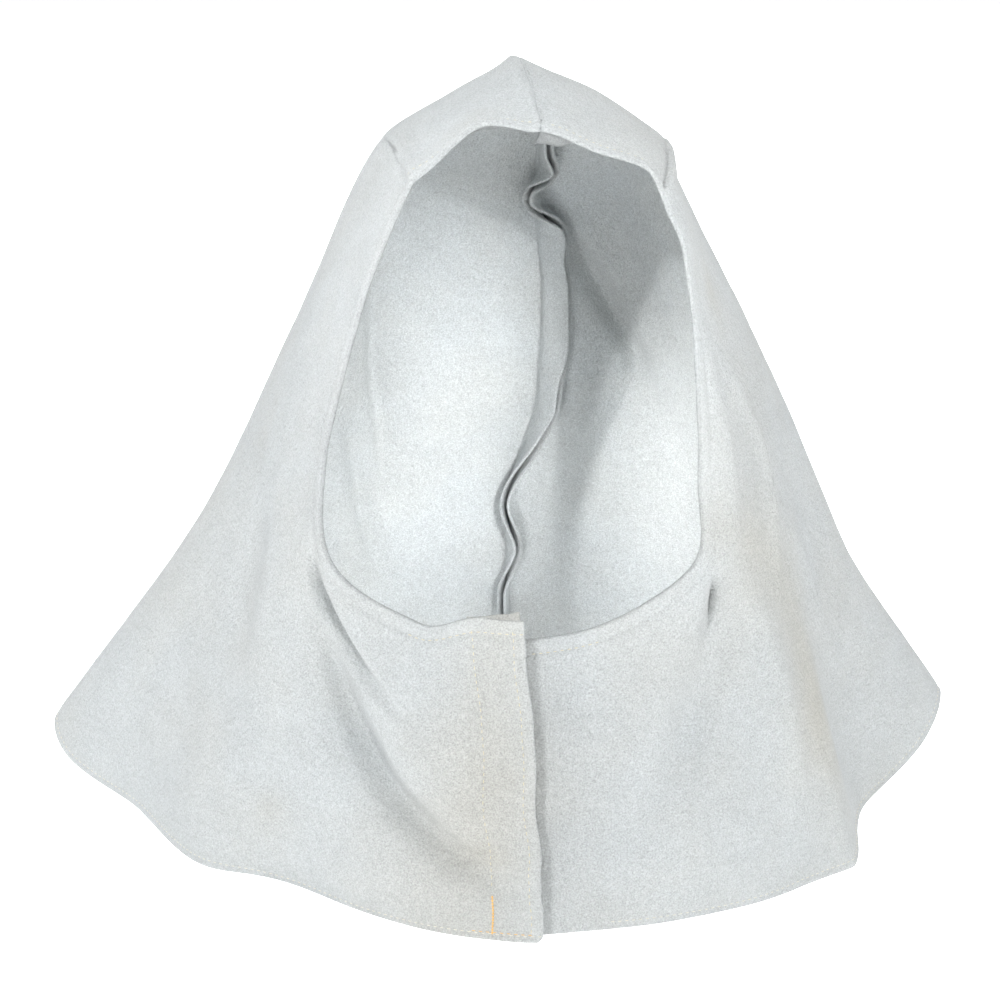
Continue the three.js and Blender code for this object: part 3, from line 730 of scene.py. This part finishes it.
# Leather pieces
def make_half(name, node, side, layer):
    panel, leaf_grid, first_body_row = panel_points(side, layer)
    panel_index = np.arange(panel[..., 0].size).reshape(panel.shape[:2])
    rows = leaf_grid.shape[0]
    joined = panel_index[first_body_row:first_body_row + rows, -1:]
    leaf_index = np.arange(leaf_grid[..., 0].size).reshape(leaf_grid.shape[:2]) + panel_index.size
    leaf_quads = grid_quads(np.concatenate([joined, leaf_index], axis=1))
    quads = np.concatenate([grid_quads(panel_index), leaf_quads])
    if side < 0:
        quads = quads[:, ::-1]
    points = np.concatenate([panel.reshape(-1, 3), leaf_grid.reshape(-1, 3)])
    solid, faces, outside = leather_solid(points, quads, LEATHER)
    solid[:, 2] = np.maximum(solid[:, 2], 0)
    body_tint = patch_tint(layer["spoke"], layer["place"])
    panel_tint = np.ones(panel.shape)
    panel_tint[first_body_row:first_body_row + rows] = body_tint
    # the fold round the face and its turned hem are painted a little darker
    panel_tint[:first_body_row] = body_tint[0] * RIM_DARKENING
    # painted shade on the turned side of the rim hem
    panel_tint[:HEM_ROWS] *= TURNED_HEM_PAINTED_SHADE
    panel_tint[first_body_row + rows:] = body_tint[-1]
    tint = np.ones(solid.shape)
    tint[:panel_index.size] = panel_tint.reshape(-1, 3)
    piece = make_piece(name, solid, faces.tolist(), [OUTSIDE, INSIDE])
    inner = np.arange(len(faces)) >= outside
    piece.data.polygons.foreach_set("material_index", inner.astype(np.int32))
    paint(piece, tint)
    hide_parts(node)
    return piece


def make_facing():
    share = np.linspace(0, 1, FACING_COLUMNS)[None, :]
    place = np.linspace(0, 1, FACING_ROWS)[:, None]
    x = FACING_EDGE + (lap_edge(place) - FACING_INSET - FACING_EDGE) * share
    place = np.broadcast_to(place, x.shape)
    spoke = spoke_at_x(x, place)
    body = shell(spoke, place)
    body = body + unit(shell_normal(spoke, place) * (1, 1, 0)) * placket_curl(x, place)[..., None]
    upwards = unit(body[0] - body[1])
    low, high = FACING_RISES
    reach = low + (high - low) * share[0] + ragged(FACING_RAGGED, body[0])
    rises = np.linspace(1, 0, FACING_RISE_ROWS, endpoint=False)
    top = np.array([body[0] + upwards * reach[:, None] * rise for rise in rises])
    grid = np.concatenate([top, body])
    quads = grid_quads(np.arange(grid[..., 0].size).reshape(grid.shape[:2]))
    solid, faces, _ = leather_solid(grid.reshape(-1, 3), quads, LEATHER)
    solid[:, 2] = np.maximum(solid[:, 2], 0)
    piece = make_piece("placket_facing_leather", solid, faces.tolist(), [OUTSIDE])
    paint(piece, np.tile(np.array(WARM), (len(solid), 1)))
    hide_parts("placket_facing")
    return piece


# Stitches
STITCH_SIDES = 6
# Along one stitch: its radius as a share of the thread's, and the height of its middle.
STITCH_RADII = np.array([0.45, 0.9, 1, 0.9, 0.45])
STITCH_RISES = np.array([-0.35, 0.05, 0.15, 0.05, -0.35])
SINGLE = (3.3, 2.3, 0.21)   # pitch, length and thread radius of plain stitches
TACK = (1.5, 1.7, 0.5)      # and of the dense bar tack
THREAD_LOW = 0.05           # no thread hangs below this height
FRONT_STITCH = 5            # from the front edge to its line of stitches
FACING_STITCH = 24          # to the line that holds the facing
TACK_STITCH = 23            # and to the bar tack at its lower end
TACK_LIFT = 0.8             # how far the tack's short row runs above the hem's stitches
RIM_STITCH_LIFT = 1.5       # how far the rim's stitches rise to the front corner of the left half
RIM_LIFT_SPOKES = 0.9
# Lines of stitches that show: spokes for those round the hood, places for those down the front.
STITCH_SPANS = {
    "left_brow": (-7.95, -6),
    "left_bib": (-1.1, 0),
    "left_hem": (-7.95, 0.1),
    "right_bib": (0.02, 0.7),
    "right_brow": (6.3, 7.95),
    "right_hem": (0.05, 7.95),
    "tack_hem": (-0.34, -0.04),
    "front": (0.03, 0.97),
    "facing": (0.04, 0.84),
    "tack": (0.85, 0.985),
}


def stitch_mesh(line, normals, pitch, dash, radius):
    """Points and faces of a row of single stitches along a line on the leather."""
    length = np.concatenate([[0], np.cumsum(np.linalg.norm(np.diff(line, axis=0), axis=-1))])
    starts = np.arange(0, length[-1] - dash, pitch)
    asked = starts[:, None] + np.linspace(0, dash, STITCH_RADII.size)
    middle = np.stack([np.interp(asked, length, line[:, k]) for k in range(3)], axis=-1)
    up = unit(np.stack([np.interp(asked, length, normals[:, k]) for k in range(3)], axis=-1))
    along = unit(middle[:, -1:] - middle[:, :1])
    across = unit(np.cross(up, along))
    turn = np.linspace(0, 2 * math.pi, STITCH_SIDES, endpoint=False)
    ring = across[:, :, None] * np.cos(turn)[:, None] + up[:, :, None] * np.sin(turn)[:, None]
    centre = middle + up * STITCH_RISES[:, None]
    points = centre[:, :, None] + ring * (radius * STITCH_RADII)[:, None, None]
    index = np.arange(points[..., 0].size).reshape(points.shape[:3])
    after = np.roll(index, -1, axis=2)
    sides = np.stack([index[:, :-1], after[:, :-1], after[:, 1:], index[:, 1:]], axis=-1).reshape(-1, 4)
    caps = [list(cap) for cap in index[:, 0, ::-1]] + [list(cap) for cap in index[:, -1]]
    return points.reshape(-1, 3), sides.tolist() + caps


def make_threads(name, rows, material):
    points = []
    faces = []
    for line, normals, pitch, dash, radius in rows:
        more, their_faces = stitch_mesh(line, normals, pitch, dash, radius)
        count = sum(len(p) for p in points)
        points.append(more)
        faces += [[v + count for v in face] for face in their_faces]
    points = np.concatenate(points)
    points[:, 2] = np.maximum(points[:, 2], THREAD_LOW)
    return make_piece(name, points, faces, [material])


def grid_normals(side, points):
    down = np.gradient(points, axis=0)
    round_hood = np.gradient(points, axis=1)
    return unit(np.cross(down, round_hood)) * side


def across_line(layer, side, lengths, spokes):
    """A line round the hood at given lengths from the rim, between two spokes."""
    columns = np.arange(layer["points"].shape[1])
    rows = row_at_length(layer, lengths)
    normals = grid_normals(side, layer["points"])
    spoke = layer["spoke"][0]
    kept = (spoke >= spokes[0]) & (spoke <= spokes[1])
    line = follow(layer["points"], rows, columns)[kept]
    up = follow(normals, rows, columns)[kept]
    return line + up * LEATHER / 2, up


def down_line(layer, side, from_edge, places):
    """A line down the front at a distance from the front edge, between two places."""
    points = layer["points"]
    normals = grid_normals(side, points)
    steps = np.linalg.norm(np.diff(points, axis=1), axis=-1)
    reach = np.concatenate([np.zeros((len(points), 1)), np.cumsum(steps, axis=1)], axis=1)
    numbers = np.arange(points.shape[1])
    columns = np.array([np.interp(from_edge, row_reach, numbers) for row_reach in reach])
    rows = np.arange(len(points))
    kept = (layer["place"][:, 0] >= places[0]) & (layer["place"][:, 0] <= places[1])
    line = follow(points, rows, columns)[kept]
    up = follow(normals, rows, columns)[kept]
    return line + up * LEATHER / 2, up


def round_row(side, lengths, span):
    """A row of plain stitches round the hood."""
    return (*across_line(layers[side], side, lengths, STITCH_SPANS[span]), *SINGLE)


def down_row(from_edge, span, stitch):
    """A row of stitches down the front of the left half."""
    return (*down_line(layers[-1], -1, from_edge, STITCH_SPANS[span]), *stitch)


# The pieces, with -1 for the viewer's left and 1 for the right
layers = {side: outer_layer(side) for side in (-1, 1)}
left = make_half("left_half_leather", "left_half", -1, layers[-1])
right = make_half("right_half_leather", "right_half", 1, layers[1])
facing = make_facing()

near_front = smooth((layers[-1]["spoke"][0] + RIM_LIFT_SPOKES) / RIM_LIFT_SPOKES)
left_rim = RIM_STITCH - RIM_STITCH_LIFT * near_front
right_rim = np.full(SHELL_COLUMNS, RIM_STITCH)
left_hem = layers[-1]["length"][-1] + FOLD_START - HEM_STITCH
right_hem = layers[1]["length"][-1] + FOLD_START - HEM_STITCH
left_threads = make_threads("left_stitches", [
    round_row(-1, left_rim, "left_brow"),
    round_row(-1, left_rim, "left_bib"),
    down_row(FRONT_STITCH, "front", SINGLE),
    down_row(FACING_STITCH, "facing", SINGLE),
], THREAD)
left_hem_threads = make_threads("left_hem_stitches", [round_row(-1, left_hem, "left_hem")], PALE_THREAD)
tack_threads = make_threads("bar_tack", [
    round_row(-1, left_hem - TACK_LIFT, "tack_hem"),
    down_row(TACK_STITCH, "tack", TACK),
], TACK_THREAD)
right_threads = make_threads("right_stitches", [
    round_row(1, right_rim, "right_bib"),
    round_row(1, right_rim, "right_brow"),
], THREAD)
right_hem_threads = make_threads("right_hem_stitches", [round_row(1, right_hem, "right_hem")], PALE_THREAD)

# Stage: floor, light and camera
CAMERA_DISTANCE = 1.3
CAMERA_ELEVATION = math.radians(20)
CAMERA_LENS = 93.6
CAMERA_TARGET = Vector((-11 * MM, 0, 155 * MM)) + Vector(OFFSET)
FLOOR_HALF = 8
FLOOR_SHINE = {"Base Color": (0.92, 0.92, 0.92, 1), "Roughness": 0.8, "Emission Strength": 0.75}
SHADE_REACH = 0.25           # the floor under the hood stays dull inside this radius
SHADE_EDGE = (0.36, 0.6)
# Name, azimuth from the front (viewer's left negative), elevation, distance, size and power.
LIGHTS = [
    ("right_key", 17, 24, 2.3, 0.4, 24),
    ("left_key", -31, 34, 2.3, 0.35, 23),
    ("left_side", -85, 20, 2.2, 1.4, 22),
    ("right_side", 80, 20, 2.2, 1.4, 21),
    ("over_crown", 180, 76, 2.0, 1.2, 26),
    ("behind", 180, 25, 2.2, 1.4, 14),
]
AIM = Vector((0, 0, 0.18))
# Narrow lights through the face opening: name, azimuth, elevation, distance, aim, cone, size and power.
NARROW_LIGHTS = [
    ("left_wall_high", 15, 22, 2.4, Vector((-0.012, 0.085, 0.21)), 3.6, 0.06, 200),
    ("left_wall_low", 15, 22, 2.4, Vector((-0.025, 0.09, 0.125)), 3.6, 0.06, 165),
    ("right_wall_high", -27, 30, 2.4, Vector((0.072, 0.06, 0.205)), 3.8, 0.06, 210),
    ("right_wall_low", -27, 30, 2.4, Vector((0.066, 0.085, 0.12)), 3.8, 0.06, 210),
]
# A small lamp under the hood, behind the bib, that lights the back wall from below.
LAMP_PLACE = Vector((-0.05, -0.06, 0.06))
LAMP_AIM = Vector((0.02, 0.13, 0.08))
LAMP_SIZE = 0.06
LAMP_POWER = 0.17
WORLD_COLOUR = (1, 1, 1, 1)
WORLD_STRENGTH = 0.06


def make_floor():
    half = FLOOR_HALF
    corners = [(-half, -half, 0), (half, -half, 0), (half, half, 0), (-half, half, 0)]
    mesh = bpy.data.meshes.new("floor")
    mesh.from_pydata(corners, [], [(0, 1, 2, 3)])
    floor = bpy.data.objects.new("floor", mesh)
    nodes = Nodes("pale_floor", FLOOR_SHINE)
    glow = nodes.ramp(nodes.ball(SHADE_REACH), *SHADE_EDGE, grey(1), grey(0))
    nodes.tree.links.new(glow, nodes.shader.inputs["Emission Color"])
    mesh.materials.append(nodes.material)
    bpy.context.collection.objects.link(floor)


def hang(data, place, aim):
    """Put a light at a place, looking at its aim."""
    light = bpy.data.objects.new(data.name, data)
    light.location = place
    light.rotation_euler = (aim - place).to_track_quat("-Z", "Y").to_euler()
    bpy.context.collection.objects.link(light)


def make_light(name, place, aim, size, power):
    data = bpy.data.lights.new(name, "AREA")
    data.size = size
    data.energy = power
    hang(data, place, aim)


def make_narrow_light(name, place, aim, cone, size, power):
    data = bpy.data.lights.new(name, "SPOT")
    data.spot_size = math.radians(cone)
    data.spot_blend = 1
    data.shadow_soft_size = size
    data.energy = power
    hang(data, place, aim)


def away_from(aim, azimuth, elevation, distance):
    turn = math.radians(azimuth)
    rise = math.radians(elevation)
    away = Vector((math.sin(turn) * math.cos(rise), -math.cos(turn) * math.cos(rise), math.sin(rise)))
    return aim + away * distance


def make_camera():
    data = bpy.data.cameras.new("camera")
    data.lens = CAMERA_LENS
    camera = bpy.data.objects.new("camera", data)
    back = Vector((0, -math.cos(CAMERA_ELEVATION), math.sin(CAMERA_ELEVATION)))
    camera.location = CAMERA_TARGET + back * CAMERA_DISTANCE
    camera.rotation_euler = (-back).to_track_quat("-Z", "Y").to_euler()
    bpy.context.collection.objects.link(camera)
    bpy.context.scene.camera = camera


make_floor()
for name, azimuth, elevation, distance, size, power in LIGHTS:
    make_light(name, away_from(AIM, azimuth, elevation, distance), AIM, size, power)
for name, azimuth, elevation, distance, aim, cone, size, power in NARROW_LIGHTS:
    make_narrow_light(name, away_from(aim, azimuth, elevation, distance), aim, cone, size, power)
make_light("lamp_under_hood", LAMP_PLACE, LAMP_AIM, LAMP_SIZE, LAMP_POWER)
make_camera()
world = bpy.data.worlds.new("studio")
world.use_nodes = True
world.node_tree.nodes["Background"].inputs["Color"].default_value = WORLD_COLOUR
world.node_tree.nodes["Background"].inputs["Strength"].default_value = WORLD_STRENGTH
bpy.context.scene.world = world
bpy.context.scene.view_settings.view_transform = "Standard"
